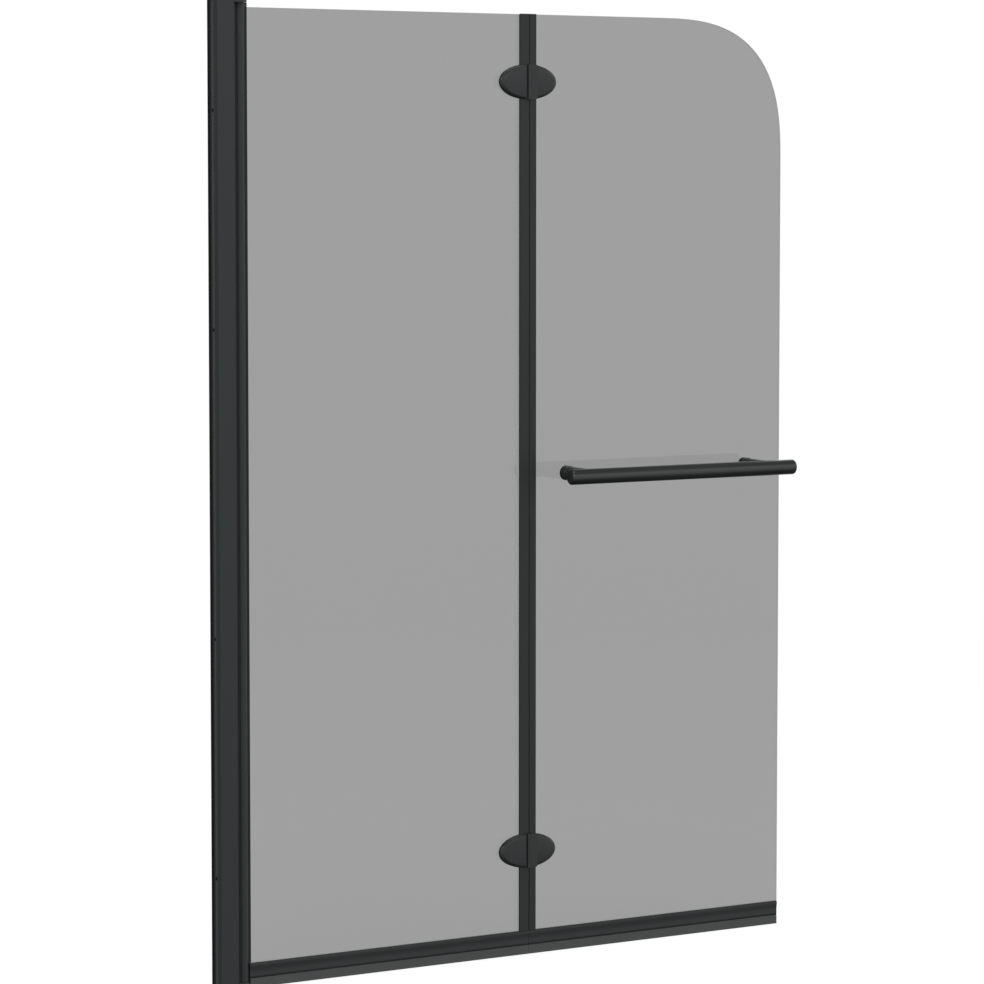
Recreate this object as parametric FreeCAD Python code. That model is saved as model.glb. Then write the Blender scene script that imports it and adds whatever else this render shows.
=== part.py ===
import FreeCAD, Part
import math
import os

# Folding glass screen for a bath or shower: a wall profile, an inner leaf that
# swings on the wall profile and an outer leaf that folds on the inner leaf.
# Millimetres. +X runs from the wall to the free edge, -Y is the room side with
# the towel bar, +Z is up. The origin is on the wall face, at the middle of the
# profile's depth, at the level of the drip lip's lower edge.

V = FreeCAD.Vector

# ---- driving dimensions -------------------------------------------------
TOTAL_H = 1400.0            # overall height
TOTAL_W = 960.0             # wall face to the outer pane's free edge
GLASS_T = 5.0               # pane thickness
GLASS_TOP = 1384.6          # top edge of both panes
GLASS_BOTTOM = 20.0         # bottom edge of both panes, inside the rail
CORNER_R = 218.0            # reach of the outer pane's rounded corner, sideways
CORNER_RZ = 214.9           # and downwards
CORNER_N = 2.8              # fullness of that corner: 2 is a circle

WALL_D = 32.4               # wall profile, depth
WALL_W = 25.9               # wall profile, width of its flanges
WALL_T = 1.8                # wall profile, flange thickness
WEB_T = 3.0                 # wall profile, web thickness at its two pads
GROOVE_HALF = 2.0           # half width of the V groove along the web's middle
GROOVE_DEPTH = 1.5          # the wall holes are drilled on this groove
WALL_HOLE_R = 2.8
WALL_HOLE_Z = (160.1, 499.8, 934.7, 1240.6)
CAP_T = 9.0                 # end caps

PIVOT_X = 41.3              # axis on which the inner leaf swings
PIVOT_R = 7.8               # round pivot profile
SEAT_R = 8.2                # seat that the pivot profile turns in
NECK_HALF = 5.0             # half depth of the adjusting profile's neck
BOSS_R = 7.8                # bottom cap, round the pivot
SLOT_HALF = 3.3             # half width of the slots that take pane and gasket

FOLD_X = 511.0              # axis on which the outer leaf folds
FOLD_Y = 13.0
FOLD_GAP = 0.8              # gap between the leaves along the fold
STRIP_L = 495.2             # left edge of the inner fold channel
STRIP_R = 523.0             # right edge of the outer fold channel
REAR_L = 502.4              # the channels' narrower rear flanges
REAR_R = 519.6
STRIP_HALF = 7.0            # half depth of the fold channels
STRIP_WALL = 1.6

HINGE_Z = (155.2, 1286.5)   # lower and upper hinge
HINGE_A = 48.0              # half width of the oval
HINGE_B = 25.5              # half height of the oval
HINGE_CX = 509.0            # middle of the front oval
HINGE_H = 9.0               # how far the oval stands off the pane
HINGE_FRONT_L = 503.2       # inner half of the front oval ends here
HINGE_FRONT_R = 506.9       # outer half of the front oval starts here
HINGE_BLOCK_R = 522.7       # up to here the outer half is a flat block over the channel
HINGE_LINE = 511.6          # engraved line on that block
HINGE_TONGUE_L = 503.6      # low tongue in the gap between the two halves
HINGE_TONGUE_H = 2.6        # how far it lies below the face
PAD_T = 0.8
KNUCKLE_R = 5.0
KNUCKLE_RELIEF = 5.7
HINGE_PIN_R = 2.5
HINGE_BOLT_DX = 22.5        # glass holes, from the fold axis
HINGE_BOLT_DZ = 8.5
LEAF_A = 37.0               # rear leaves: smaller oval
LEAF_B = 21.0
HINGE_HOLE_R = 5.0          # holes in the panes for the hinges
BAR_HOLE_R = 4.5            # holes in the outer pane for the bar

RAIL_TOP = 35.2
RAIL_BOTTOM = 13.4
RAIL_L = 49.1
DRIP_L = 50.0
RAIL_R = 957.6

BAR_R = 11.3
BAR_Z = 712.1
BAR_OFF = 75.0              # pane surface to the bar's axis
BAR_L = 537.2
BAR_END = 935.0
BAR_CAP = 4.6
POST_R = 10.9               # feet of the posts on the pane
POST_FOOT = 10.7            # length of the foot
NECK_R = 10.0               # post between its foot and the bar
POST_X = (577.2, 894.8)

HALF = GLASS_T / 2.0
FRONT = -HALF               # front surface of the panes
REAR = HALF

os.makedirs("parts", exist_ok=True)


# ---- helpers --------------------------------------------------------------
def box(x0, x1, y0, y1, z0, z1):
    return Part.makeBox(x1 - x0, y1 - y0, z1 - z0, V(x0, y0, z0))


def cyl_z(x, y, r, z0, z1):
    return Part.makeCylinder(r, z1 - z0, V(x, y, z0), V(0, 0, 1))


def cyl_y(x, z, r, y0, y1):
    return Part.makeCylinder(r, y1 - y0, V(x, y0, z), V(0, 1, 0))


def cyl_x(y, z, r, x0, x1):
    return Part.makeCylinder(r, x1 - x0, V(x0, y, z), V(1, 0, 0))


def prism_z(points, z0, z1):
    pts = [V(x, y, z0) for x, y in points]
    face = Part.Face(Part.makePolygon(pts + [pts[0]]))
    return face.extrude(V(0, 0, z1 - z0))


def prism_x(points, x0, x1):
    pts = [V(x0, y, z) for y, z in points]
    face = Part.Face(Part.makePolygon(pts + [pts[0]]))
    return face.extrude(V(x1 - x0, 0, 0))


def rounded_rect_z(x0, x1, y0, y1, r, z0, z1):
    """Upright prism with rounded corners; r is one radius or four, from the
    corner at (x0, y0) round by (x1, y0), (x1, y1) and (x0, y1)."""
    rs = (r, r, r, r) if not isinstance(r, (tuple, list)) else r
    c = [(x0, y0, 1, 1), (x1, y0, -1, 1), (x1, y1, -1, -1), (x0, y1, 1, -1)]
    edges, ends = [], []
    for (x, y, sx, sy), q in zip(c, rs):
        if q > 0:
            m = (x + sx * q * (1 - math.sqrt(0.5)), y + sy * q * (1 - math.sqrt(0.5)))
            along_x, along_y = (x + sx * q, y), (x, y + sy * q)
            ends.append((along_x, m, along_y))
        else:
            ends.append(((x, y), None, (x, y)))
    order = [(2, 0), (0, 2), (2, 0), (0, 2)]
    path = []
    for (a, b), e in zip(order, ends):
        path.append((e[a], e[1], e[b]))
    n = len(path)
    for i in range(n):
        start, mid, stop = path[i]
        if mid is not None:
            edges.append(
                Part.Arc(V(*start, z0), V(*mid, z0), V(*stop, z0)).toShape()
            )
        nxt = path[(i + 1) % n][0]
        if math.dist(stop, nxt) > 1e-6:
            edges.append(Part.LineSegment(V(*stop, z0), V(*nxt, z0)).toShape())
    return Part.Face(Part.Wire(edges)).extrude(V(0, 0, z1 - z0))


def clean(shape):
    """Merges split faces, where that leaves the volume as it is."""
    s = shape.removeSplitter()
    same = abs(s.Volume - shape.Volume) < 1e-4 * abs(shape.Volume)
    if s.isValid() and s.Volume > 0 and (same or not shape.isValid()):
        return s
    return shape


def one(shape):
    """The single solid of a result that must be one piece."""
    s = clean(shape)
    assert len(s.Solids) == 1, len(s.Solids)
    return s.Solids[0]


def group(*shapes):
    solids = []
    for s in shapes:
        solids.extend(s.Solids)
    return Part.makeCompound(solids)


def round_rim(shape, r, keep):
    """Fillets the edges for which keep(points) is true."""
    chosen = []
    for e in shape.Edges:
        pts = e.discretize(9)
        if keep(pts):
            chosen.append(e)
    assert chosen
    return shape.makeFillet(r, chosen)


def mirror_y(shape):
    return shape.mirror(V(0, 0, 0), V(0, 1, 0))


PARTS = {}


def save(name, shape):
    shape = shape if shape.ShapeType in ("Solid", "Compound") else shape.Solids[0]
    assert shape.isValid(), name
    PARTS[name] = shape
    shape.exportStep("parts/%s.step" % name)


# ---- wall side -----------------------------------------------------------
hd = WALL_D / 2.0
wall = rounded_rect_z(0.0, WALL_W, -hd, hd, (0.8, 0.5, 0.5, 0.8), 0.0, TOTAL_H)
wall = wall.cut(box(WEB_T, WALL_W + 1, -hd + WALL_T, hd - WALL_T, -1, TOTAL_H + 1))
wall = wall.cut(
    prism_z(
        [
            (-GROOVE_DEPTH / 2, -GROOVE_HALF * 1.5),
            (GROOVE_DEPTH, 0.0),
            (-GROOVE_DEPTH / 2, GROOVE_HALF * 1.5),
        ],
        CAP_T,
        TOTAL_H - CAP_T,
    )
)
for z in WALL_HOLE_Z:
    wall = wall.cut(Part.makeCylinder(WALL_HOLE_R, WEB_T + 2, V(-1, 0, z), V(1, 0, 0)))
CLAMP_Z = (120.0, 700.0, 1280.0)
CLAMP_X = 13.0
for z in CLAMP_Z:
    wall = wall.cut(cyl_y(CLAMP_X, z, 2.0, hd - WALL_T - 1, hd + 1))
save("wall_profile", one(wall))

Z0, Z1 = CAP_T, TOTAL_H - CAP_T
ah = hd - WALL_T - 0.4       # half depth of the adjusting profile's box
adj = box(5.0, 25.6, -ah, ah, Z0, Z1)
adj = adj.cut(box(4.0, 24.0, -ah + 1.6, ah - 1.6, Z0 - 1, Z1 + 1))
neck = box(23.0, 36.0, -NECK_HALF, NECK_HALF, Z0, Z1)
hollow = box(20.0, 36.5, -NECK_HALF + 1.6, NECK_HALF - 1.6, Z0 - 1, Z1 + 1).cut(
    cyl_z(PIVOT_X, 0, SEAT_R + 1.6, Z0 - 1, Z1 + 1)
)
neck = neck.cut(hollow)
adj = adj.cut(box(20.0, 27.0, -NECK_HALF + 1.6, NECK_HALF - 1.6, Z0 - 1, Z1 + 1))
adj = adj.fuse(neck).cut(cyl_z(PIVOT_X, 0, SEAT_R, Z0 - 1, Z1 + 1))
# thickened pads where the clamp screws bite
for z in CLAMP_Z:
    adj = adj.fuse(box(CLAMP_X - 5, CLAMP_X + 5, ah - 4.0, ah - 1.0, z - 6, z + 6))
    adj = adj.cut(cyl_y(CLAMP_X, z, 2.0, ah - 5, ah + 1))
save("adjusting_profile", one(adj))

screws = []
for z in CLAMP_Z:
    s = cyl_y(CLAMP_X, z, 2.0, ah - 4.0, hd)
    head = cyl_y(CLAMP_X, z, 3.6, hd, hd + 1.6)
    head = round_rim(head, 0.7, lambda p: all(abs(q.y - hd - 1.6) < 1e-6 for q in p) and (p[0] - p[4]).Length > 1)
    s = s.fuse(head)
    s = s.cut(box(CLAMP_X - 2.2, CLAMP_X + 2.2, hd + 0.8, hd + 2, z - 0.45, z + 0.45))
    s = s.cut(box(CLAMP_X - 0.45, CLAMP_X + 0.45, hd + 0.8, hd + 2, z - 2.2, z + 2.2))
    screws.append(one(s))
save("side_clamp_screws", group(*screws))

# soft lips on the two edges of the pivot seat
lip = box(33.4, 35.9, -NECK_HALF - 0.6, -NECK_HALF, Z0 + 1, Z1 - 1).cut(
    cyl_z(PIVOT_X, 0, SEAT_R - 0.08, 0, TOTAL_H)
)
save("jaw_seal_front", one(lip))
save("jaw_seal_rear", one(mirror_y(lip)))

# end caps: a plug inside the wall profile and a nose over the pivot
BUSH_R = 5.0
plug = hd - WALL_T
top_cap = box(WEB_T, WALL_W, -plug, plug, Z1, TOTAL_H)
nose = Part.Ellipse(V(36.0, 0, Z1), hd, 16.1)
nose_shape = nose.toShape()
nose_shape.rotate(V(36.0, 0, Z1), V(0, 0, 1), 90)
nose_solid = Part.Face(Part.Wire([nose_shape])).extrude(V(0, 0, TOTAL_H - Z1))
nose_solid = nose_solid.common(box(36.0, 60, -20, 20, Z1, TOTAL_H))
top_cap = top_cap.fuse(box(WALL_W, 36.0, -hd, hd, Z1, TOTAL_H)).fuse(nose_solid)
top_cap = one(top_cap)
top_cap = round_rim(
    top_cap,
    0.8,
    lambda p: all(abs(q.z - TOTAL_H) < 1e-6 for q in p) and min(q.x for q in p) > WALL_W - 1e-6 and not all(abs(q.x - WALL_W) < 1e-6 for q in p),
)
top_cap = top_cap.cut(cyl_z(PIVOT_X, 0, BUSH_R, Z1 - 1, TOTAL_H - 1.5))
SCREW_Y = 6.0
for sy in (-SCREW_Y, SCREW_Y):
    top_cap = top_cap.cut(cyl_z(13.5, sy, 1.6, Z1 - 1, TOTAL_H + 1))
    top_cap = top_cap.cut(
        Part.makeCone(1.6, 3.2, 1.8, V(13.5, sy, TOTAL_H - 1.8), V(0, 0, 1))
    )
save("top_end_cap", one(top_cap))

bottom_cap = box(WEB_T, WALL_W, -plug, plug, 0, Z0)
bottom_cap = bottom_cap.fuse(box(WALL_W, PIVOT_X, -BOSS_R, BOSS_R, 0, Z0))
bottom_cap = one(bottom_cap.fuse(cyl_z(PIVOT_X, 0, BOSS_R, 0, Z0)))
bottom_cap = bottom_cap.cut(cyl_z(PIVOT_X, 0, BUSH_R, 1.5, Z0 + 1))
for sy in (-SCREW_Y, SCREW_Y):
    bottom_cap = bottom_cap.cut(cyl_z(13.5, sy, 1.6, -1, Z0 + 1))
    bottom_cap = bottom_cap.cut(Part.makeCone(3.2, 1.6, 1.8, V(13.5, sy, 0), V(0, 0, 1)))
save("bottom_end_cap", one(bottom_cap))

# cap screws: countersunk, into screw ports on the adjusting profile's line
cap_screws = []
for sy in (-SCREW_Y, SCREW_Y):
    t = cyl_z(13.5, sy, 1.6, Z1 - 14, TOTAL_H - 1.8).fuse(
        Part.makeCone(1.6, 3.2, 1.8, V(13.5, sy, TOTAL_H - 1.8), V(0, 0, 1))
    )
    t = t.cut(box(13.5 - 2.0, 13.5 + 2.0, sy - 0.4, sy + 0.4, TOTAL_H - 0.9, TOTAL_H + 1))
    t = t.cut(box(13.5 - 0.4, 13.5 + 0.4, sy - 2.0, sy + 2.0, TOTAL_H - 0.9, TOTAL_H + 1))
    cap_screws.append(one(t))
    b = cyl_z(13.5, sy, 1.6, 1.8, Z0 + 14).fuse(
        Part.makeCone(3.2, 1.6, 1.8, V(13.5, sy, 0), V(0, 0, 1))
    )
    b = b.cut(box(13.5 - 2.0, 13.5 + 2.0, sy - 0.4, sy + 0.4, -1, 0.9))
    b = b.cut(box(13.5 - 0.4, 13.5 + 0.4, sy - 2.0, sy + 2.0, -1, 0.9))
    cap_screws.append(one(b))
save("end_cap_screws", group(*cap_screws))

# nylon bushes in the caps
PIN_R = 3.0
top_bush = cyl_z(PIVOT_X, 0, BUSH_R, Z1, TOTAL_H - 1.5).fuse(cyl_z(PIVOT_X, 0, 7.3, Z1 - 0.6, Z1))
top_bush = top_bush.cut(cyl_z(PIVOT_X, 0, PIN_R + 0.05, Z1 - 2, TOTAL_H))
save("top_pivot_bush", one(top_bush))
low_bush = cyl_z(PIVOT_X, 0, BUSH_R, 1.5, Z0).fuse(cyl_z(PIVOT_X, 0, 6.5, Z0, Z0 + 0.8))
low_bush = low_bush.cut(cyl_z(PIVOT_X, 0, PIN_R + 0.05, 0, Z0 + 2))
save("bottom_pivot_bush", one(low_bush))

# ---- inner leaf: wall edge ---------------------------------------------------
P0, P1 = 11.5, 1389.4        # pivot profile, lower and upper end
SLOT_X = 36.3
INNER_L = 37.5               # wall edge of the inner pane
prof = cyl_z(PIVOT_X, 0, PIVOT_R, P0, P1)
prof = prof.cut(box(SLOT_X, 60, -SLOT_HALF, SLOT_HALF, P0 - 1, P1 + 1))
save("pivot_profile", one(prof))

PG_R = 49.0
PG_LIP = 52.2                # lips on the pane's faces, above the rail
pg = box(SLOT_X, PG_R, -SLOT_HALF, SLOT_HALF, GLASS_BOTTOM, GLASS_TOP)
pg = pg.fuse(box(PG_R, PG_LIP, -SLOT_HALF, SLOT_HALF, RAIL_TOP + 0.3, GLASS_TOP))
pg = pg.cut(box(INNER_L, 60, -HALF, HALF, 0, TOTAL_H))
save("pivot_profile_gasket", one(pg))


def plug_piece(zs0, zs1, zd0, zd1, zb0, zb1, reach=0.0):
    p = box(SLOT_X, 47.9, -SLOT_HALF, SLOT_HALF, zs0, zs1)
    p = p.common(cyl_z(PIVOT_X, 0, PIVOT_R - 0.1, zs0 - 1, zs1 + 1))
    if reach:
        # closes the slot above the pane and its gasket
        p = p.fuse(box(PIVOT_X, reach, -SLOT_HALF, SLOT_HALF, zs0, zs1))
        p = p.fuse(box(PIVOT_X + 7.6, reach, -SLOT_HALF, SLOT_HALF, zs1, zs1 + 1.2))
    p = p.fuse(cyl_z(PIVOT_X, 0, PIVOT_R - 0.1, zd0, zd1))
    return one(p.cut(cyl_z(PIVOT_X, 0, PIN_R, zb0, zb1)))


save("top_pivot_plug", plug_piece(GLASS_TOP, P1, P1, 1390.1, 1385.4, 1392, PG_LIP))
save("bottom_pivot_plug", plug_piece(P0, GLASS_BOTTOM, 10.2, P0, 8, 18.5))
save("top_pivot_pin", cyl_z(PIVOT_X, 0, PIN_R, 1385.4, 1397.0))
save("bottom_pivot_pin", cyl_z(PIVOT_X, 0, PIN_R, 2.5, 18.5))

# ---- panes -----------------------------------------------------------------
INNER_R = FOLD_X - FOLD_GAP / 2 - STRIP_WALL - 0.6   # folding edge of the inner pane
OUTER_L = FOLD_X + FOLD_GAP / 2 + STRIP_WALL + 0.6   # folding edge of the outer pane


def bolt_points(side):
    x = FOLD_X + side * HINGE_BOLT_DX
    return [(x, hz + s * HINGE_BOLT_DZ) for hz in HINGE_Z for s in (-1, 1)]


inner_glass = box(INNER_L, INNER_R, FRONT, REAR, GLASS_BOTTOM, GLASS_TOP)
for x, z in bolt_points(-1):
    inner_glass = inner_glass.cut(cyl_y(x, z, HINGE_HOLE_R, -10, 10))
save("inner_glass", one(inner_glass))

cx, cz = TOTAL_W - CORNER_R, GLASS_TOP - CORNER_RZ
steps = 24
curve_pts = []
for i in range(steps + 1):
    t = math.pi / 2 * i / steps
    curve_pts.append(
        V(
            cx + CORNER_R * math.sin(t) ** (2 / CORNER_N),
            FRONT,
            cz + CORNER_RZ * math.cos(t) ** (2 / CORNER_N),
        )
    )
corner = Part.BSplineCurve()
corner.interpolate(Points=curve_pts, InitialTangent=V(1, 0, 0), FinalTangent=V(0, 0, -1))
BR = 4.0
k = BR * (1 - math.sqrt(0.5))
edges = [
    Part.LineSegment(V(OUTER_L, FRONT, GLASS_TOP), V(cx, FRONT, GLASS_TOP)).toShape(),
    corner.toShape(),
    Part.LineSegment(V(TOTAL_W, FRONT, cz), V(TOTAL_W, FRONT, GLASS_BOTTOM + BR)).toShape(),
    Part.Arc(
        V(TOTAL_W, FRONT, GLASS_BOTTOM + BR),
        V(TOTAL_W - k, FRONT, GLASS_BOTTOM + k),
        V(TOTAL_W - BR, FRONT, GLASS_BOTTOM),
    ).toShape(),
    Part.LineSegment(V(TOTAL_W - BR, FRONT, GLASS_BOTTOM), V(OUTER_L, FRONT, GLASS_BOTTOM)).toShape(),
    Part.LineSegment(V(OUTER_L, FRONT, GLASS_BOTTOM), V(OUTER_L, FRONT, GLASS_TOP)).toShape(),
]
outer_glass = Part.Face(Part.Wire(edges)).extrude(V(0, GLASS_T, 0))
for x, z in bolt_points(1):
    outer_glass = outer_glass.cut(cyl_y(x, z, HINGE_HOLE_R, -10, 10))
for x in POST_X:
    outer_glass = outer_glass.cut(cyl_y(x, BAR_Z, BAR_HOLE_R, -10, 10))
save("outer_glass", one(outer_glass))

# ---- fold channels -----------------------------------------------------------
FZ0, FZ1 = RAIL_TOP, GLASS_TOP + 0.6
xl1 = FOLD_X - FOLD_GAP / 2
xr0 = FOLD_X + FOLD_GAP / 2
chan = rounded_rect_z(STRIP_L, xl1, -STRIP_HALF, STRIP_HALF, (0.8, 0.5, 1.8, 0), FZ0, FZ1)
chan = chan.cut(box(STRIP_L - 1, xl1 - STRIP_WALL, -STRIP_HALF + STRIP_WALL, STRIP_HALF - STRIP_WALL, 0, TOTAL_H))
chan = chan.cut(box(STRIP_L - 1, REAR_L, 0, STRIP_HALF + 1, 0, TOTAL_H))
save("inner_fold_profile", one(chan))
gask = box(STRIP_L + 0.8, xl1 - STRIP_WALL, -STRIP_HALF + STRIP_WALL, STRIP_HALF - STRIP_WALL, FZ0, GLASS_TOP)
gask = gask.cut(box(0, REAR_L + 0.8, 0, STRIP_HALF, 0, TOTAL_H))
gask = gask.cut(box(0, INNER_R, -HALF, HALF, 0, TOTAL_H))
save("inner_fold_gasket", one(gask))
chan = rounded_rect_z(xr0, STRIP_R, -STRIP_HALF, STRIP_HALF, (2.4, 0.8, 0, 1.8), FZ0, FZ1)
chan = chan.cut(box(xr0 + STRIP_WALL, STRIP_R + 1, -STRIP_HALF + STRIP_WALL, STRIP_HALF - STRIP_WALL, 0, TOTAL_H))
chan = chan.cut(box(REAR_R, STRIP_R + 1, 0, STRIP_HALF + 1, 0, TOTAL_H))
# rebate that the soft lip reaches into
chan = chan.cut(box(xr0 - 1, FOLD_X + 1.15, -4.4, -1.4, 0, TOTAL_H))
save("outer_fold_profile", one(chan))
gask = box(xr0 + STRIP_WALL, STRIP_R - 0.8, -STRIP_HALF + STRIP_WALL, STRIP_HALF - STRIP_WALL, FZ0, GLASS_TOP)
gask = gask.cut(box(REAR_R - 0.8, 2000, 0, STRIP_HALF, 0, TOTAL_H))
gask = gask.cut(box(OUTER_L, 2000, -HALF, HALF, 0, TOTAL_H))
save("outer_fold_gasket", one(gask))
# soft lip that closes the joint between the two channels
save("fold_lip_seal", box(xl1, FOLD_X + 0.75, -4.0, -1.8, FZ0 + 0.5, FZ1 - 0.5))

# ---- hinges ------------------------------------------------------------------
FACE = HALF + HINGE_H        # outer face of the ovals, from the panes' middle
SEAT = HALF + PAD_T          # where the plates start, on top of their pads


def oval(cx_, z, a, b, y0, y1):
    """Upright oval disc, axis along Y."""
    e = Part.Ellipse(V(0, 0, 0), a, b).toShape()
    e.rotate(V(0, 0, 0), V(1, 0, 0), 90)
    e.translate(V(cx_, y0, z))
    return Part.Face(Part.Wire([e])).extrude(V(0, y1 - y0, 0))


def domed_oval(cx_, z, y_in, y_out, a, b, shoulder=0.0, big=900.0):
    """Oval plate with a slightly crowned face at y_out and a soft rim. With a
    shoulder radius the face rolls off gently before it reaches the rim."""
    sgn = -1 if y_out < y_in else 1
    h = abs(y_out - y_in)

    def on(c, r, t):
        return V(c[0] + r * math.sin(t), c[1] + r * math.cos(t), 0)

    # half section in (radius, height): flat seat, side, rim arc, crown arc
    if shoulder:
        f, turn = 1.6, math.radians(38.0)
        c1x = a - f - (shoulder - f) * math.sin(turn)
        t1 = math.asin(c1x / (big - shoulder))
        c1 = (c1x, h - big + (big - shoulder) * math.cos(t1))
        yf = c1[1] + (shoulder - f) * math.cos(turn)
        end = on(c1, shoulder, turn)
    else:
        f = 2.8
        t1 = math.asin((a - f) / (big - f))
        yf = h - big + (big - f) * math.cos(t1)
        turn = t1
        end = on((a - f, yf), f, turn)
    crown = (0.0, h - big)
    e = [
        Part.LineSegment(V(0, 0, 0), V(a, 0, 0)).toShape(),
        Part.LineSegment(V(a, 0, 0), V(a, yf, 0)).toShape(),
        Part.Arc(V(a, yf, 0), on((a - f, yf), f, (turn + math.pi / 2) / 2), end).toShape(),
    ]
    if shoulder:
        top = on(c1, shoulder, t1)
        e.append(Part.Arc(end, on(c1, shoulder, (turn + t1) / 2), top).toShape())
        end = top
    e.append(Part.Arc(end, on(crown, big, t1 / 2), V(0, h, 0)).toShape())
    e.append(Part.LineSegment(V(0, h, 0), V(0, 0, 0)).toShape())
    s = Part.Face(Part.Wire(e)).revolve(V(0, 0, 0), V(0, 1, 0), 360)
    m = FreeCAD.Matrix()
    m.scale(V(1, sgn, b / a))
    s = s.transformGeometry(m)
    s.translate(V(cx_, y_in, z))
    s = s.Solids[0]
    if s.Volume < 0:
        s.reverse()
    return s


def strip_rebate(side, y_sign):
    """Space the fold channel takes under a hinge plate."""
    left, right = (STRIP_L, STRIP_R) if y_sign < 0 else (REAR_L, REAR_R)
    x0, x1 = (left - 0.1, FOLD_X) if side < 0 else (FOLD_X, right + 0.1)
    y0, y1 = (-STRIP_HALF, 0) if y_sign < 0 else (0, STRIP_HALF)
    return box(x0, x1, y0, y1, 0, TOTAL_H)


inner_screws, outer_screws, inner_bush, outer_bush, thrust = [], [], [], [], []
KZ = 7.0                     # half height of the middle knuckle
WZ0, WZ1 = 7.3, 7.9          # thrust washers
KTOP = 21.5                  # outer end of the end knuckles
for label, hz in (("lower", HINGE_Z[0]), ("upper", HINGE_Z[1])):
    front = domed_oval(HINGE_CX, hz, -SEAT, -FACE, HINGE_A, HINGE_B, shoulder=12.0)
    fuller = domed_oval(HINGE_CX, hz, -SEAT, -FACE, HINGE_A, HINGE_B, shoulder=12.0, big=450.0)
    rear = domed_oval(FOLD_X, hz, SEAT, FACE, LEAF_A, LEAF_B)
    for side, tag in ((-1, "inner"), (1, "outer")):
        far = 600.0
        bx = FOLD_X + side * HINGE_BOLT_DX
        holes = [(bx, hz - HINGE_BOLT_DZ), (bx, hz + HINGE_BOLT_DZ)]
        # front plate
        if side < 0:
            plate = front.common(box(400, HINGE_FRONT_L, -20, 0, hz - 60, hz + 60))
            plate = plate.cut(strip_rebate(side, -1))
        else:
            # the domed part, and the block that reaches over the fold joint
            plate = fuller.common(box(HINGE_BLOCK_R, far, -20, 0, hz - 60, hz + 60))
            block = oval(HINGE_CX, hz, HINGE_A, HINGE_B, -FACE + 0.12, -SEAT)
            plate = plate.fuse(block.common(box(HINGE_FRONT_R, HINGE_BLOCK_R, -20, 0, hz - 60, hz + 60)))
            low = oval(HINGE_CX, hz, HINGE_A, HINGE_B, -FACE + HINGE_TONGUE_H, -SEAT)
            plate = plate.fuse(low.common(box(HINGE_TONGUE_L, HINGE_FRONT_R, -20, 0, hz - 60, hz + 60)))
            plate = plate.cut(strip_rebate(side, -1))
            plate = plate.cut(box(HINGE_TONGUE_L - 1, FOLD_X + 0.5, -STRIP_HALF - 0.4, 0, hz - 60, hz + 60))
            plate = plate.cut(
                prism_z(
                    [(HINGE_LINE - 0.5, -FACE - 0.1), (HINGE_LINE, -FACE + 0.4), (HINGE_LINE + 0.5, -FACE - 0.1)],
                    hz - 60,
                    hz + 60,
                )
            )
        plate = one(plate)
        for x, z in holes:
            plate = plate.cut(cyl_y(x, z, 2.1, -9.2, 0))
        save("%s_hinge_%s_front_plate" % (label, tag), one(plate))
        # rear leaf with its knuckles
        if side < 0:
            cutter = box(400, FOLD_X - KNUCKLE_RELIEF, 0, 20, hz - 60, hz + 60)
        else:
            cutter = box(FOLD_X + KNUCKLE_RELIEF, far, 0, 20, hz - 60, hz + 60)
        leaf = one(rear.common(cutter).cut(strip_rebate(side, 1)))
        spans = [(-KTOP, -WZ1), (WZ1, KTOP)] if side < 0 else [(-KZ, KZ)]
        for a, b in spans:
            x_in = FOLD_X + side * (KNUCKLE_RELIEF + 1.5)
            arm = box(min(x_in, FOLD_X), max(x_in, FOLD_X), 8.4, FACE - 0.2, hz + a, hz + b)
            knuckle = cyl_z(FOLD_X, FOLD_Y, KNUCKLE_R, hz + a, hz + b)
            leaf = leaf.fuse(arm).fuse(knuckle)
        leaf = one(leaf)
        bore = HINGE_PIN_R if side < 0 else HINGE_PIN_R + 0.05
        leaf = leaf.cut(cyl_z(FOLD_X, FOLD_Y, bore, hz - 40, hz + 40))
        for x, z in holes:
            leaf = leaf.cut(cyl_y(x, z, 2.7, 0, 20))
            leaf = leaf.cut(cyl_y(x, z, 4.2, FACE - 3.6, 20))
        save("%s_hinge_%s_rear_leaf" % (label, tag), one(leaf))
        # pads between plates and pane
        pads = []
        for y0, y1, cxx, pa, pb, sl, sr in (
            (-SEAT, -HALF, HINGE_CX, HINGE_A, HINGE_B, STRIP_L, STRIP_R),
            (HALF, SEAT, FOLD_X, LEAF_A, LEAF_B, REAR_L, REAR_R),
        ):
            pad = oval(cxx, hz, pa - 0.8, pb - 0.8, y0, y1)
            lim = (
                box(400, sl - 0.2, -20, 20, hz - 60, hz + 60)
                if side < 0
                else box(sr + 0.2, far, -20, 20, hz - 60, hz + 60)
            )
            pad = pad.common(lim)
            for x, z in holes:
                pad = pad.cut(cyl_y(x, z, 2.9, -20, 20))
            pads.append(one(pad))
        save("%s_hinge_%s_pads" % (label, tag), group(*pads))
        for x, z in holes:
            sleeve = cyl_y(x, z, HINGE_HOLE_R, -HALF, HALF).cut(cyl_y(x, z, 2.7, -9, 9))
            (inner_bush if side < 0 else outer_bush).append(one(sleeve))
            sc = cyl_y(x, z, 2.1, -9.0, FACE - 3.6)
            hd_ = cyl_y(x, z, 3.8, FACE - 3.6, FACE - 1.0)
            sc = sc.fuse(hd_)
            hexa = prism_z([(0, 0), (1, 0), (0, 1)], 0, 1)
            pts = [
                V(
                    x + 1.45 * math.cos(math.radians(60 * i)),
                    FACE - 3.0,
                    z + 1.45 * math.sin(math.radians(60 * i)),
                )
                for i in range(6)
            ]
            hexa = Part.Face(Part.makePolygon(pts + [pts[0]])).extrude(V(0, 6, 0))
            sc = sc.cut(hexa)
            (inner_screws if side < 0 else outer_screws).append(one(sc))
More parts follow.
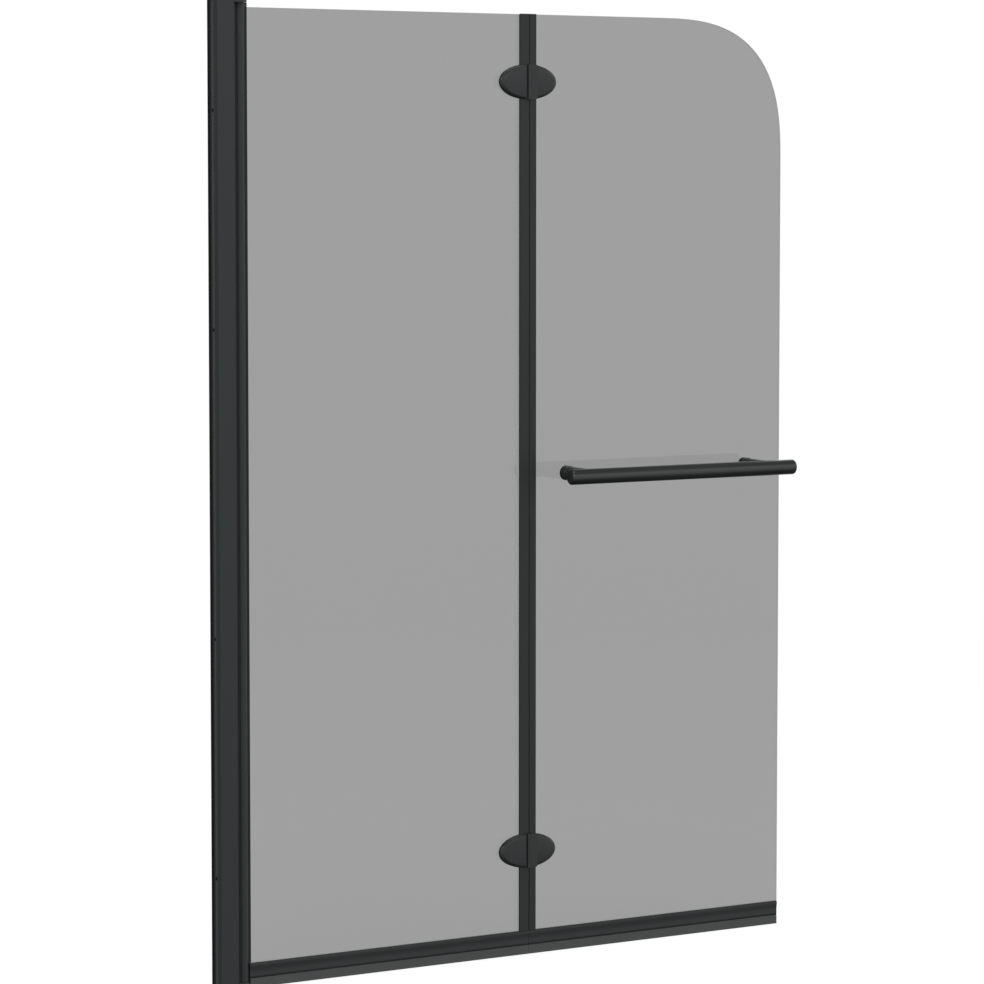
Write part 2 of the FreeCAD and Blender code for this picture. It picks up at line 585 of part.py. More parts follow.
    # pin: held tight in the end knuckles, runs in the middle one
    pin = cyl_z(FOLD_X, FOLD_Y, HINGE_PIN_R, hz - KTOP - 0.6, hz + KTOP + 0.6)
    pin = round_rim(pin, 0.5, lambda p: len({round(q.z, 4) for q in p}) == 1)
    save("%s_hinge_pin" % label, one(pin))
    for s in (-1, 1):
        a, b = sorted((s * WZ0, s * WZ1))
        w = cyl_z(FOLD_X, FOLD_Y, 4.6, hz + a, hz + b).cut(
            cyl_z(FOLD_X, FOLD_Y, HINGE_PIN_R, hz - 30, hz + 30)
        )
        thrust.append(one(w))
save("hinge_inner_bushings", group(*inner_bush))
save("hinge_outer_bushings", group(*outer_bush))
save("hinge_inner_screws", group(*inner_screws))
save("hinge_outer_screws", group(*outer_screws))
save("hinge_thrust_washers", group(*thrust))

# ---- bottom rails ------------------------------------------------------------
# half section of the clip: top bead, hollow face, lower bead
FACE_PTS = [
    (4.6, 35.2),
    (6.0, 34.9),
    (6.8, 34.0),
    (7.1, 32.6),
    (7.05, 30.8),
    (6.75, 28.6),
    (6.35, 26.3),
    (6.1, 24.3),
    (6.0, 22.3),
    (6.05, 20.3),
    (6.2, 18.3),
    (6.25, 16.8),
    (6.05, 15.4),
    (5.6, 14.4),
    (5.2, 13.9),
]
REAR_TOP = 32.0             # the rear flange is a little lower
BACK_PTS = [
    (4.6, 32.0),
    (5.9, 31.7),
    (6.6, 30.9),
    (6.85, 29.6),
    (6.75, 28.0),
    (6.45, 26.2),
    (6.15, 24.3),
    (6.0, 22.3),
    (6.05, 20.3),
    (6.2, 18.3),
    (6.25, 16.8),
    (6.05, 15.4),
    (5.6, 14.4),
    (5.2, 13.9),
]


def rail(x0, x1):
    f = [V(x0, -y, z) for y, z in FACE_PTS]
    r = [V(x0, y, z) for y, z in BACK_PTS]
    fs = Part.BSplineCurve()
    fs.interpolate(Points=f)
    rs = Part.BSplineCurve()
    rs.interpolate(Points=r)
    foot = (5.2, RAIL_BOTTOM)
    # both contours as chains of tangent arcs, so every face is a cylinder
    e = [a.toShape() for a in fs.toBiArcs(0.03) + rs.toBiArcs(0.03)]
    e += [
        Part.LineSegment(f[-1], V(x0, -foot[0], foot[1])).toShape(),
        Part.LineSegment(V(x0, -foot[0], foot[1]), V(x0, foot[0], foot[1])).toShape(),
        Part.LineSegment(V(x0, foot[0], foot[1]), r[-1]).toShape(),
        Part.LineSegment(r[0], V(x0, 0, REAR_TOP)).toShape(),
        Part.LineSegment(V(x0, 0, REAR_TOP), V(x0, 0, RAIL_TOP)).toShape(),
        Part.LineSegment(V(x0, 0, RAIL_TOP), f[0]).toShape(),
    ]
    s = Part.Face(Part.Wire(Part.__sortEdges__(e))).extrude(V(x1 - x0, 0, 0))
    s = s.cut(box(x0 - 1, x1 + 1, -SLOT_HALF, SLOT_HALF, 19.2, 60))
    s = s.cut(box(x0 - 1, x1 + 1, -20, 20, RAIL_TOP, 60))
    # slot that takes the head of the drip seal
    s = s.cut(box(x0 - 1, x1 + 1, -1.8, 1.8, RAIL_BOTTOM - 1, 17.9))
    s = s.cut(box(x0 - 1, x1 + 1, -2.9, 2.9, 16.7, 17.9))
    return s


def rail_gasket(x0, x1):
    s = box(x0, x1, -SLOT_HALF, SLOT_HALF, 19.2, RAIL_TOP)
    s = s.cut(box(x0, x1, 0, SLOT_HALF, REAR_TOP, RAIL_TOP))
    return s.cut(box(0, 2000, -HALF, HALF, GLASS_BOTTOM, 60))


def drip(x0, x1):
    rb = RAIL_BOTTOM
    top = prism_x([(-6.3, rb - 1.6), (5.0, rb - 1.6), (5.0, rb), (-6.3, rb)], x0, x1)
    neck_ = box(x0, x1, -1.8, 1.8, rb - 0.8, 17.0)
    head_ = box(x0, x1, -2.9, 2.9, 16.7, 17.9)
    fin = prism_x([(-6.3, rb - 0.8), (-6.3, 1.4), (-4.9, 1.4), (-4.7, rb - 0.8)], x0, x1)
    bead = cyl_x(-5.2, 1.4, 1.4, x0, x1)
    rear = prism_x([(3.2, rb - 0.8), (5.0, rb - 0.8), (6.9, 2.2), (6.1, 1.9)], x0, x1)
    return one(top.fuse([neck_, head_, fin, bead, rear]))


RAIL_GAP = 0.36              # between the leaves' rails at the fold
inner_span = (RAIL_L, FOLD_X - RAIL_GAP / 2)
outer_span = (FOLD_X + RAIL_GAP / 2, RAIL_R - 1.2)
save("inner_bottom_rail", one(rail(*inner_span)))
save("outer_bottom_rail", one(rail(*outer_span)))
tongue = box(inner_span[1] - 1.0, FOLD_X + 0.5, -3.0, 3.0, 19.5, RAIL_TOP - 0.3)
tongue = tongue.cut(box(0, 2000, -HALF, HALF, GLASS_BOTTOM, 60)).cut(box(0, 2000, 0, SLOT_HALF, REAR_TOP - 0.3, RAIL_TOP))
save("inner_rail_gasket", one(rail_gasket(*inner_span).fuse(tongue)))
save("outer_rail_gasket", one(rail_gasket(FOLD_X + 0.9, RAIL_R)))
save("inner_drip_seal", drip(DRIP_L, inner_span[1]))
save("outer_drip_seal", drip(outer_span[0], RAIL_R))
end = rail(RAIL_R - 1.2, RAIL_R)
end = end.cut(box(900, 1000, -1.8, 1.8, RAIL_BOTTOM - 1, 17.9))
save("outer_rail_end_plug", one(end))

# ---- towel bar ---------------------------------------------------------------
BY = FRONT - BAR_OFF
tube = cyl_x(BY, BAR_Z, BAR_R, BAR_L + BAR_CAP, BAR_END - BAR_CAP).cut(
    cyl_x(BY, BAR_Z, BAR_R - 1.5, BAR_L, BAR_END)
)
save("towel_bar_tube", one(tube))
for tag, x_out, d in (("left", BAR_L, 1), ("right", BAR_END, -1)):
    xa, xb = sorted((x_out, x_out + d * BAR_CAP))
    cap = cyl_x(BY, BAR_Z, BAR_R, xa, xb)
    cap = round_rim(
        cap, 4.0, lambda p, xo=x_out: all(abs(q.x - xo) < 1e-6 for q in p) and (p[0] - p[4]).Length > 1
    )
    xc, xd = sorted((x_out + d * BAR_CAP, x_out + d * (BAR_CAP + 9.0)))
    stub = cyl_x(BY, BAR_Z, BAR_R - 1.5, xc, xd).cut(
        cyl_x(BY, BAR_Z, BAR_R - 3.5, xc + (2.0 if d > 0 else -1.0), xd + (1.0 if d > 0 else -2.0))
    )
    save("towel_bar_%s_cap" % tag, one(cap.fuse(stub)))
WASH = 2.2                  # rubber washers between foot and pane
post_names = ("left", "right")
fw, gb, rw, rc, ps = [], [], [], [], []
for tag, x in zip(post_names, POST_X):
    post = cyl_y(x, BAR_Z, POST_R, FRONT - WASH - POST_FOOT, FRONT - WASH)
    post = round_rim(post, 0.7, lambda p: (p[0] - p[4]).Length > 1)
    post = post.fuse(cyl_y(x, BAR_Z, NECK_R, BY, FRONT - WASH - POST_FOOT / 2))
    post = post.cut(cyl_x(BY, BAR_Z, BAR_R, 400, 1100))
    post = post.cut(cyl_y(x, BAR_Z, 2.5, FRONT - 16.0, 5))
    save("towel_bar_%s_post" % tag, one(post))
    fw.append(cyl_y(x, BAR_Z, POST_R + 0.1, FRONT - WASH, FRONT).cut(cyl_y(x, BAR_Z, 2.6, -9, 9)))
    gb.append(cyl_y(x, BAR_Z, BAR_HOLE_R, FRONT, REAR).cut(cyl_y(x, BAR_Z, 2.6, -9, 9)))
    rw.append(cyl_y(x, BAR_Z, 5.4, REAR, REAR + 0.5).cut(cyl_y(x, BAR_Z, 2.6, -9, 9)))
    c = cyl_y(x, BAR_Z, 5.5, REAR + 0.5, REAR + 2.9)
    c = round_rim(
        c, 0.9, lambda p: all(abs(q.y - (REAR + 2.9)) < 1e-6 for q in p) and (p[0] - p[4]).Length > 1
    )
    c = c.cut(cyl_y(x, BAR_Z, 4.4, REAR, REAR + 2.1))
    rc.append(one(c))
    s = cyl_y(x, BAR_Z, 2.5, FRONT - 15.0, REAR + 0.5).fuse(
        cyl_y(x, BAR_Z, 4.2, REAR + 0.5, REAR + 2.0)
    )
    ps.append(one(s))
save("towel_bar_front_washers", group(*fw))
save("towel_bar_glass_bushes", group(*gb))
save("towel_bar_rear_washers", group(*rw))
save("towel_bar_rear_caps", group(*rc))
save("towel_bar_screws", group(*ps))

lo = [min(s.BoundBox.XMin for s in PARTS.values()), min(s.BoundBox.YMin for s in PARTS.values()), min(s.BoundBox.ZMin for s in PARTS.values())]
hi = [max(s.BoundBox.XMax for s in PARTS.values()), max(s.BoundBox.YMax for s in PARTS.values()), max(s.BoundBox.ZMax for s in PARTS.values())]
print(len(PARTS), "nodes", [round(v, 2) for v in lo], [round(v, 2) for v in hi])
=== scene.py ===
import math
import bmesh
import bpy
from mathutils import Matrix, Vector

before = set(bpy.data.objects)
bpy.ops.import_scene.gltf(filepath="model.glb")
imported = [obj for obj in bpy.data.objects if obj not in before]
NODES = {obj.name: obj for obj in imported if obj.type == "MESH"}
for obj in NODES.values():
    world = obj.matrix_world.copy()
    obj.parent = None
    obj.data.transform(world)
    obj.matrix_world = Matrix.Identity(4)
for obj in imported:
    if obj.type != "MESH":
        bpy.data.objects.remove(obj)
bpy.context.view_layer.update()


# ---------------------------------------------------------------- materials
class Mat:
    """A node material with a few short cuts."""

    def __init__(self, name):
        self.m = bpy.data.materials.new(name)
        self.m.use_nodes = True
        self.t = self.m.node_tree
        self.t.nodes.clear()
        self.out = self.t.nodes.new("ShaderNodeOutputMaterial")
        self.coord = self.t.nodes.new("ShaderNodeTexCoord")

    def node(self, kind, **props):
        n = self.t.nodes.new(kind)
        for k, v in props.items():
            setattr(n, k, v)
        return n

    def link(self, a, b):
        self.t.links.new(a, b)

    def mapped(self, scale):
        n = self.node("ShaderNodeMapping")
        n.inputs["Scale"].default_value = scale
        self.link(self.coord.outputs["Object"], n.inputs["Vector"])
        return n.outputs["Vector"]

    def noise(self, scale, detail=3.0, rough=0.5, distort=0.0, stretch=(1, 1, 1)):
        n = self.node("ShaderNodeTexNoise")
        n.inputs["Scale"].default_value = scale
        n.inputs["Detail"].default_value = detail
        n.inputs["Roughness"].default_value = rough
        n.inputs["Distortion"].default_value = distort
        self.link(self.mapped(stretch), n.inputs["Vector"])
        return n.outputs["Fac"]

    def ramp(self, fac, stops):
        n = self.node("ShaderNodeValToRGB")
        e = n.color_ramp.elements
        e[0].position, e[0].color = stops[0][0], (*stops[0][1], 1)
        e[1].position, e[1].color = stops[-1][0], (*stops[-1][1], 1)
        for p, c in stops[1:-1]:
            x = e.new(p)
            x.color = (*c, 1)
        self.link(fac, n.inputs["Fac"])
        return n.outputs["Color"]

    def span(self, fac, lo, hi, a=0.3, b=0.7):
        n = self.node("ShaderNodeMapRange")
        n.inputs["From Min"].default_value = a
        n.inputs["From Max"].default_value = b
        n.inputs["To Min"].default_value = lo
        n.inputs["To Max"].default_value = hi
        self.link(fac, n.inputs["Value"])
        return n.outputs["Result"]

    def math(self, op, a, b=None, clamp=False):
        n = self.node("ShaderNodeMath", operation=op, use_clamp=clamp)
        for i, v in enumerate((a, b)):
            if v is None:
                continue
            if isinstance(v, (int, float)):
                n.inputs[i].default_value = v
            else:
                self.link(v, n.inputs[i])
        return n.outputs[0]

    def bump(self, height, strength, distance, normal=None):
        n = self.node("ShaderNodeBump")
        n.inputs["Strength"].default_value = strength
        n.inputs["Distance"].default_value = distance
        self.link(height, n.inputs["Height"])
        if normal is not None:
            self.link(normal, n.inputs["Normal"])
        return n.outputs["Normal"]

    def principled(self, **sockets):
        n = self.node("ShaderNodeBsdfPrincipled")
        for k, v in sockets.items():
            n.inputs[k.replace("_", " ")].default_value = v
        self.link(n.outputs[0], self.out.inputs["Surface"])
        return n


def powder_coat(name, dark, light, rough, grain=0.10, lines=None, spec=0.4, painted_web_light=None):
    """Satin black powder coat: fine orange peel, slow changes of tone and
    gloss, and on extrusions faint lines along their length. With web stops
    given, colour and gloss are multiplied across the face on the wall: painted
    shade towards its rear and a painted highlight line near its middle."""
    m = Mat(name)
    p = m.principled(Specular_IOR_Level=spec, IOR=1.5)
    slow = m.noise(7.0, 4.0, 0.55)
    fine = m.noise(1500.0, 2.0, 0.5)
    peel = m.noise(420.0, 2.0, 0.45)
    tone = m.ramp(slow, [(0.3, dark), (0.7, light)])
    if painted_web_light is not None:
        # painted shade and highlight on the wall-facing side (x under 1.6 mm): the stops darken its rear strip and
        # brighten a line near its middle, in colour and in gloss
        at = m.node("ShaderNodeSeparateXYZ")
        m.link(m.coord.outputs["Object"], at.inputs[0])
        near_wall = m.math("LESS_THAN", at.outputs["X"], 0.0016)
        across = m.span(at.outputs["Y"], 0.0, 1.0, -0.0162, 0.0162)
        painted_light_factor = m.ramp(across, [((y + 16.2) / 32.4, (v, v, v)) for y, v in painted_web_light])
        coat = m.node("ShaderNodeMix", data_type="RGBA", blend_type="MULTIPLY")
        m.link(near_wall, coat.inputs["Factor"])
        m.link(tone, coat.inputs["A"])
        m.link(painted_light_factor, coat.inputs["B"])
        tone = coat.outputs["Result"]
        shade = m.node("ShaderNodeMix", data_type="FLOAT")
        shade.inputs["A"].default_value = spec
        m.link(near_wall, shade.inputs["Factor"])
        m.link(m.math("MULTIPLY", m.math("MINIMUM", painted_light_factor, 1.3), spec), shade.inputs["B"])
        m.link(shade.outputs["Result"], p.inputs["Specular IOR Level"])
    m.link(tone, p.inputs["Base Color"])
    r = m.math("ADD", m.span(slow, rough - 0.03, rough + 0.03), m.span(fine, -0.03, 0.03))
    m.link(r, p.inputs["Roughness"])
    n = m.bump(peel, grain, 0.00012)
    n = m.bump(fine, grain * 0.8, 0.00005, n)
    if lines is not None:
        streak = m.noise(1.0, 2.0, 0.6, stretch=lines)
        n = m.bump(streak, 0.06, 0.00008, n)
    m.link(n, p.inputs["Normal"])
    return m.m


UPRIGHT = (900.0, 900.0, 2.0)
LEVEL = (2.0, 900.0, 900.0)
coat_wall = powder_coat("black_coat_wall", (0.022, 0.026, 0.0265), (0.026, 0.030, 0.0305), 0.42, lines=UPRIGHT, spec=0.34)
# wall profile coat with painted shade on the rear of its wall-facing side and a painted highlight line along the
# middle of that side
coat_wall_painted_light = powder_coat(
    "black_coat_wall_painted_light", (0.022, 0.026, 0.0265), (0.026, 0.030, 0.0305), 0.42, lines=UPRIGHT, spec=0.34,
    painted_web_light=[
        (-16.2, 1.06), (-8.0, 1.06), (-5.5, 1.15), (-3.6, 1.5), (-2.0, 1.75), (1.4, 1.6), (2.4, 1.15),
        (4.1, 0.82), (6.9, 0.46), (9.4, 0.15), (11.0, 0.15), (13.0, 0.30), (16.2, 0.42),
    ],
)
coat_strip = powder_coat("black_coat_strip", (0.019, 0.021, 0.021), (0.023, 0.025, 0.026), 0.44, lines=UPRIGHT, spec=0.31)
coat_rail = powder_coat("black_coat_rail", (0.021, 0.023, 0.024), (0.025, 0.027, 0.028), 0.42, lines=LEVEL, spec=0.36)
coat_hinge = powder_coat("black_coat_hinge", (0.020, 0.022, 0.023), (0.023, 0.0255, 0.0265), 0.29, grain=0.12, spec=0.37)
coat_bar = powder_coat("black_coat_bar", (0.018, 0.019, 0.0195), (0.021, 0.022, 0.0225), 0.175, grain=0.04, spec=0.585)


def moulded(name, dark, light, rough, bump=0.2, scale=900.0, spec=0.4):
    """Moulded plastic with a fine spark-eroded grain."""
    m = Mat(name)
    p = m.principled(Specular_IOR_Level=spec, IOR=1.47)
    slow = m.noise(11.0, 3.0)
    grain = m.noise(scale, 3.0, 0.6)
    m.link(m.ramp(slow, [(0.3, dark), (0.7, light)]), p.inputs["Base Color"])
    m.link(m.span(grain, rough - 0.05, rough + 0.05), p.inputs["Roughness"])
    m.link(m.bump(grain, bump, 0.0001), p.inputs["Normal"])
    return m.m


moulding = moulded("black_moulding", (0.026, 0.029, 0.030), (0.031, 0.034, 0.035), 0.46)
nylon = moulded("nylon", (0.040, 0.040, 0.041), (0.050, 0.050, 0.051), 0.40, 0.1)


def rubber_like(name, dark, light, rough, spec=0.3, lines=None):
    m = Mat(name)
    p = m.principled(Specular_IOR_Level=spec, IOR=1.45)
    slow = m.noise(16.0, 4.0, 0.6)
    grain = m.noise(1300.0, 3.0, 0.6)
    m.link(m.ramp(slow, [(0.3, dark), (0.7, light)]), p.inputs["Base Color"])
    m.link(m.span(grain, rough - 0.06, rough + 0.06), p.inputs["Roughness"])
    n = m.bump(grain, 0.25, 0.00008)
    if lines is not None:
        n = m.bump(m.noise(1.0, 2.0, 0.5, stretch=lines), 0.15, 0.0002, n)
    m.link(n, p.inputs["Normal"])
    return m.m


rubber = rubber_like("seal_rubber", (0.014, 0.014, 0.014), (0.019, 0.019, 0.019), 0.62)
black_rubber = rubber_like("black_rubber", (0.004, 0.004, 0.004), (0.007, 0.007, 0.007), 0.78, spec=0.12)
drip_skin = rubber_like("drip_seal", (0.072, 0.075, 0.076), (0.082, 0.085, 0.086), 0.50, lines=LEVEL)


def steel(name):
    m = Mat(name)
    p = m.principled(Metallic=1.0)
    turn = m.noise(600.0, 3.0, 0.6, stretch=(1, 6, 1))
    m.link(m.ramp(turn, [(0.3, (0.42, 0.42, 0.41)), (0.7, (0.50, 0.50, 0.49))]), p.inputs["Base Color"])
    m.link(m.span(turn, 0.26, 0.38), p.inputs["Roughness"])
    m.link(m.bump(turn, 0.1, 0.0001), p.inputs["Normal"])
    return m.m


stainless = steel("stainless")
black_steel = powder_coat("black_screw", (0.022, 0.023, 0.023), (0.030, 0.031, 0.031), 0.32)

FACE_TINT = 0.574
EDGE_TINT = 0.575


def pane_glass(name):
    """Grey glass: light passes each face tinted, the faces mirror by angle,
    and the polished edge is a little deeper in tone."""
    m = Mat(name)
    geo = m.node("ShaderNodeNewGeometry")
    sep = m.node("ShaderNodeSeparateXYZ")
    bc = m.node("ShaderNodeVectorTransform", vector_type="NORMAL", convert_from="WORLD", convert_to="OBJECT")
    m.link(geo.outputs["True Normal"], bc.inputs[0])
    m.link(bc.outputs[0], sep.inputs[0])
    side = m.math("ABSOLUTE", sep.outputs["Y"])
    is_face = m.math("GREATER_THAN", side, 0.72)
    cloud = m.noise(3.0, 2.0, 0.4)
    tint = m.node("ShaderNodeMix", data_type="RGBA")
    tint.inputs["A"].default_value = (EDGE_TINT * 0.985, EDGE_TINT, EDGE_TINT * 0.99, 1)
    m.link(
        m.ramp(cloud, [(0.2, (FACE_TINT * 0.998,) * 3), (0.8, (FACE_TINT * 1.002,) * 3)]),
        tint.inputs["B"],
    )
    m.link(is_face, tint.inputs["Factor"])
    clear = m.node("ShaderNodeBsdfTransparent")
    m.link(tint.outputs["Result"], clear.inputs["Color"])
    shine = m.node("ShaderNodeBsdfGlossy")
    shine.inputs["Color"].default_value = (1, 1, 1, 1)
    shine.inputs["Roughness"].default_value = 0.02
    lean = m.node("ShaderNodeLayerWeight")
    lean.inputs["Blend"].default_value = 0.5
    graze = m.math("POWER", lean.outputs["Facing"], 5.0)
    mirror = m.math("ADD", m.math("MULTIPLY", graze, 0.96), 0.04)
    mix = m.node("ShaderNodeMixShader")
    m.link(mirror, mix.inputs[0])
    m.link(clear.outputs[0], mix.inputs[1])
    m.link(shine.outputs[0], mix.inputs[2])
    m.link(mix.outputs[0], m.out.inputs["Surface"])
    return m.m


glass = pane_glass("grey_glass")


def dress(name, material):
    ob = NODES[name]
    ob.data.materials.clear()
    ob.data.materials.append(material)


for n in NODES:
    if n == "wall_profile":
        dress(n, coat_wall_painted_light)
    elif n in ("adjusting_profile", "pivot_profile"):
        dress(n, coat_wall)
    elif n.endswith("fold_profile"):
        dress(n, coat_strip)
    elif n.endswith("bottom_rail") or n == "outer_rail_end_plug":
        dress(n, coat_rail)
    elif n.endswith("_glass"):
        dress(n, glass)
    elif n.endswith("drip_seal"):
        dress(n, drip_skin)
    elif "gasket" in n or n.startswith("jaw_seal") or n == "fold_lip_seal" or n.endswith("_pads"):
        dress(n, rubber)
    elif n == "towel_bar_front_washers":
        dress(n, black_rubber)
    elif n.endswith("plate") or n.endswith("leaf"):
        dress(n, coat_hinge)
    elif n in ("hinge_inner_screws", "hinge_outer_screws", "side_clamp_screws", "end_cap_screws"):
        dress(n, black_steel)
    elif n.endswith("_pin") or n == "towel_bar_screws":
        dress(n, stainless)
    elif "bush" in n or "washers" in n:
        dress(n, nylon)
    elif n.startswith("towel_bar"):
        dress(n, coat_bar)
    else:
        dress(n, moulding)


def bevel(name, width, segments=3, angle=30.0):
    ob = NODES[name]
    b = ob.modifiers.new("edge", "BEVEL")
    b.width = width
    b.segments = segments
    b.limit_method = "ANGLE"
    b.angle_limit = math.radians(angle)
    b.harden_normals = False
    return ob


# soft edges where the drawing has sharp ones
for n in NODES:
    if n.endswith("front_plate"):
        bevel(n, 0.0004 if "outer" in n else 0.0006, 3, 35.0)
    elif n.endswith("rear_leaf"):
        bevel(n, 0.0004, 2, 35.0)
    elif n in ("bottom_end_cap", "outer_rail_end_plug", "top_pivot_plug", "bottom_pivot_plug"):
        bevel(n, 0.0004, 2, 40.0)
    elif n in ("adjusting_profile", "pivot_profile"):
        bevel(n, 0.00025, 2, 40.0)
    elif n in ("inner_bottom_rail", "outer_bottom_rail"):
        bevel(n, 0.00012, 1, 40.0)


# ---------------------------------------------------------------- stage
# White pale floor under the object, brightest far away, so that it meets the
# white studio with no visible line.
floor_m = Mat("floor_paint")
dist = floor_m.node("ShaderNodeVectorMath", operation="LENGTH")
floor_m.link(floor_m.coord.outputs["Object"], dist.inputs[0])
far = floor_m.span(dist.outputs["Value"], 0.0, 1.0, 1.2, 4.0)
paint = floor_m.node("ShaderNodeBsdfDiffuse")
floor_m.link(
    floor_m.ramp(floor_m.noise(2.0, 3.0), [(0.3, (0.79, 0.79, 0.79)), (0.7, (0.80, 0.80, 0.80))]),
    paint.inputs["Color"],
)
glow = floor_m.node("ShaderNodeEmission")
glow.inputs["Color"].default_value = (1, 1, 1, 1)
glow.inputs["Strength"].default_value = 1.22
near = floor_m.node("ShaderNodeMixShader")
near.inputs[0].default_value = 0.74
floor_m.link(paint.outputs[0], near.inputs[1])
floor_m.link(glow.outputs[0], near.inputs[2])
horizon = floor_m.node("ShaderNodeEmission")
horizon.inputs["Color"].default_value = (1, 1, 1, 1)
horizon.inputs["Strength"].default_value = 1.0
meet = floor_m.node("ShaderNodeMixShader")
floor_m.link(far, meet.inputs[0])
floor_m.link(near.outputs[0], meet.inputs[1])
floor_m.link(horizon.outputs[0], meet.inputs[2])
floor_m.link(meet.outputs[0], floor_m.out.inputs["Surface"])

bm = bmesh.new()
bmesh.ops.create_circle(bm, cap_ends=True, radius=40.0, segments=96)
mesh = bpy.data.meshes.new("floor")
bm.to_mesh(mesh)
bm.free()
floor = bpy.data.objects.new("floor", mesh)
floor.location = (0.48, 0.0, -0.0012)
floor.data.materials.append(floor_m.m)
floor.visible_glossy = False
floor.visible_diffuse = False
bpy.context.scene.collection.objects.link(floor)

# Studio surround: white where it is looked at; as light it is a wide soft band
# in front and to the right, dimmer overhead, behind, to the left and below.
world = bpy.data.worlds.new("studio")
bpy.context.scene.world = world
world.use_nodes = True
wt = world.node_tree
wt.nodes.clear()


def wnode(kind, **props):
    n = wt.nodes.new(kind)
    for k, v in props.items():
        setattr(n, k, v)
    return n


def wramp(value, lo, hi, stops, interp="EASE"):
    m = wnode("ShaderNodeMapRange")
    m.inputs["From Min"].default_value = lo
    m.inputs["From Max"].default_value = hi
    wt.links.new(value, m.inputs["Value"])
    n = wnode("ShaderNodeValToRGB")
    n.color_ramp.interpolation = interp
    e = n.color_ramp.elements
    e[0].position = (stops[0][0] - lo) / (hi - lo)
    e[0].color = (stops[0][1],) * 3 + (1,)
    e[1].position = (stops[-1][0] - lo) / (hi - lo)
    e[1].color = (stops[-1][1],) * 3 + (1,)
    for p, v in stops[1:-1]:
        x = e.new((p - lo) / (hi - lo))
        x.color = (v, v, v, 1)
    wt.links.new(m.outputs["Result"], n.inputs["Fac"])
    return n.outputs["Color"]


def wmath(op, a, b):
    n = wnode("ShaderNodeMath", operation=op)
    for i, v in enumerate((a, b)):
        if isinstance(v, (int, float)):
            n.inputs[i].default_value = v
        else:
            wt.links.new(v, n.inputs[i])
    return n.outputs[0]


w_dir = wnode("ShaderNodeTexCoord")
w_sep = wnode("ShaderNodeSeparateXYZ")
wt.links.new(w_dir.outputs["Generated"], w_sep.inputs[0])
w_up = w_sep.outputs["Z"]
w_round = wnode("ShaderNodeVectorMath", operation="DOT_PRODUCT")
wt.links.new(w_dir.outputs["Generated"], w_round.inputs[0])
w_round.inputs[1].default_value = (0.509, -0.861, 0.0)
# by height: below, horizon band, above (z is the sine of the elevation)
w_height = wramp(
    w_up, -1.0, 1.0,
    [
        (-1.0, 0.02), (-0.866, 0.04), (-0.707, 0.09), (-0.574, 0.17), (-0.454, 0.29), (-0.342, 0.48), (-0.225, 0.68),
        (0.0, 0.78), (0.174, 0.87), (0.309, 1.0), (0.423, 0.96), (0.53, 0.66), (0.643, 0.38), (0.766, 0.26), (1.0, 0.20),
    ],
    "LINEAR",
)
w_across = wnode("ShaderNodeVectorMath", operation="DOT_PRODUCT")
wt.links.new(w_dir.outputs["Generated"], w_across.inputs[0])
w_across.inputs[1].default_value = (0.861, 0.509, 0.0)
# by bearing, in half turns from the front band: left is negative, right positive
w_turn = wmath("DIVIDE", wmath("ARCTAN2", w_across.outputs["Value"], w_round.outputs["Value"]), math.pi)
w_side = wramp(
    w_turn, -1.0, 1.0,
    [
        (-1.0, 0.30), (-0.72, 0.36), (-0.64, 1.35), (-0.55, 1.35), (-0.45, 0.95), (-0.3, 1.0), (0.0, 1.0),
        (0.3, 1.0), (0.42, 1.0), (0.49, 1.55), (0.59, 1.55), (0.66, 0.45), (0.8, 0.26), (1.0, 0.28),
    ],
    "LINEAR",
)
w_env = wnode("ShaderNodeBackground")
w_env.inputs["Color"].default_value = (0.975, 0.995, 0.99, 1)
wt.links.new(wmath("MULTIPLY", wmath("MULTIPLY", w_height, w_side), 1.15), w_env.inputs["Strength"])
w_back = wnode("ShaderNodeBackground")
w_back.inputs["Color"].default_value = (1, 1, 1, 1)
w_back.inputs["Strength"].default_value = 1.0
w_path = wnode("ShaderNodeLightPath")
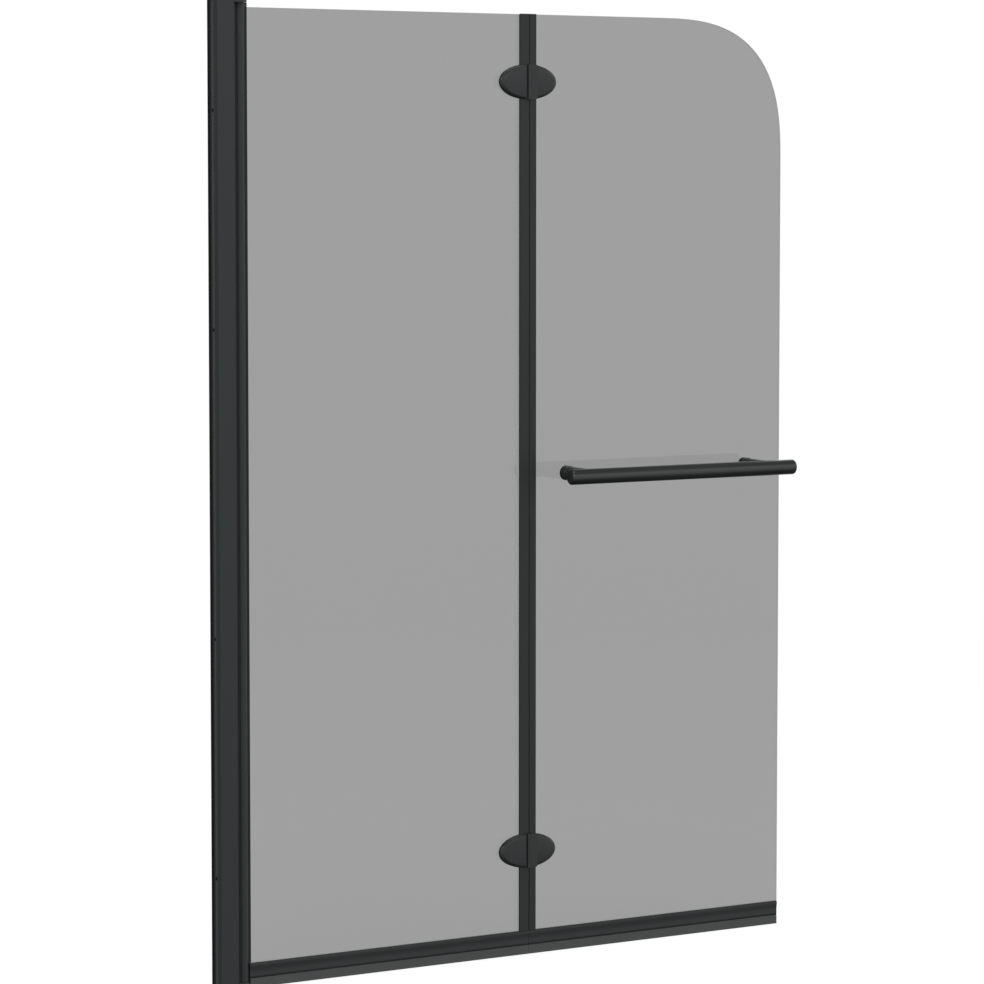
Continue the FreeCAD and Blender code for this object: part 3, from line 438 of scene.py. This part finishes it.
w_mix = wnode("ShaderNodeMixShader")
w_out = wnode("ShaderNodeOutputWorld")
wt.links.new(w_path.outputs["Is Camera Ray"], w_mix.inputs[0])
wt.links.new(w_env.outputs[0], w_mix.inputs[1])
wt.links.new(w_back.outputs[0], w_mix.inputs[2])
wt.links.new(w_mix.outputs[0], w_out.inputs["Surface"])


def area(name, loc, target, size, size_y, power, colour=(1, 1, 1)):
    data = bpy.data.lights.new(name, "AREA")
    data.shape = "RECTANGLE"
    data.size, data.size_y = size, size_y
    data.energy = power
    data.color = colour
    ob = bpy.data.objects.new(name, data)
    ob.location = loc
    ob.rotation_mode = "QUATERNION"
    ob.rotation_quaternion = (Vector(target) - Vector(loc)).to_track_quat("-Z", "Y")
    bpy.context.scene.collection.objects.link(ob)
    return ob


area("top", (0.5, -0.8, 4.6), (0.5, 0.0, 0.7), 3.4, 2.6, 40.0)
area("upper_left", (-3.2, -3.6, 3.6), (0.4, 0.0, 0.9), 1.0, 1.0, 22.0)
area("front", (1.55, -3.8, 2.2), (0.5, 0.0, 1.2), 0.3, 0.45, 4.0)
area("rear", (2.6, 4.4, 2.1), (0.5, 0.0, 0.7), 4.0, 3.4, 14.0).visible_camera = False

# ---------------------------------------------------------------- camera
cam_data = bpy.data.cameras.new("camera")
cam = bpy.data.objects.new("camera", cam_data)
bpy.context.scene.collection.objects.link(cam)
yaw, pitch = math.radians(30.600), math.radians(4.046)
fwd = Vector((math.sin(yaw) * math.cos(pitch), math.cos(yaw) * math.cos(pitch), -math.sin(pitch)))
right = Vector((math.cos(yaw), -math.sin(yaw), 0.0))
up = right.cross(fwd)
rot = Matrix((right, up, -fwd)).transposed().to_4x4()
cam.matrix_world = Matrix.Translation((-2.3277, -4.6995, 1.1471)) @ rot
cam_data.sensor_width = 36.0
cam_data.lens = 3746.6 / 984.0 * 36.0
cam_data.shift_y = -0.05
cam_data.clip_start = 0.05
cam_data.clip_end = 200.0
bpy.context.scene.camera = cam
bpy.context.scene.view_settings.view_transform = "Standard"
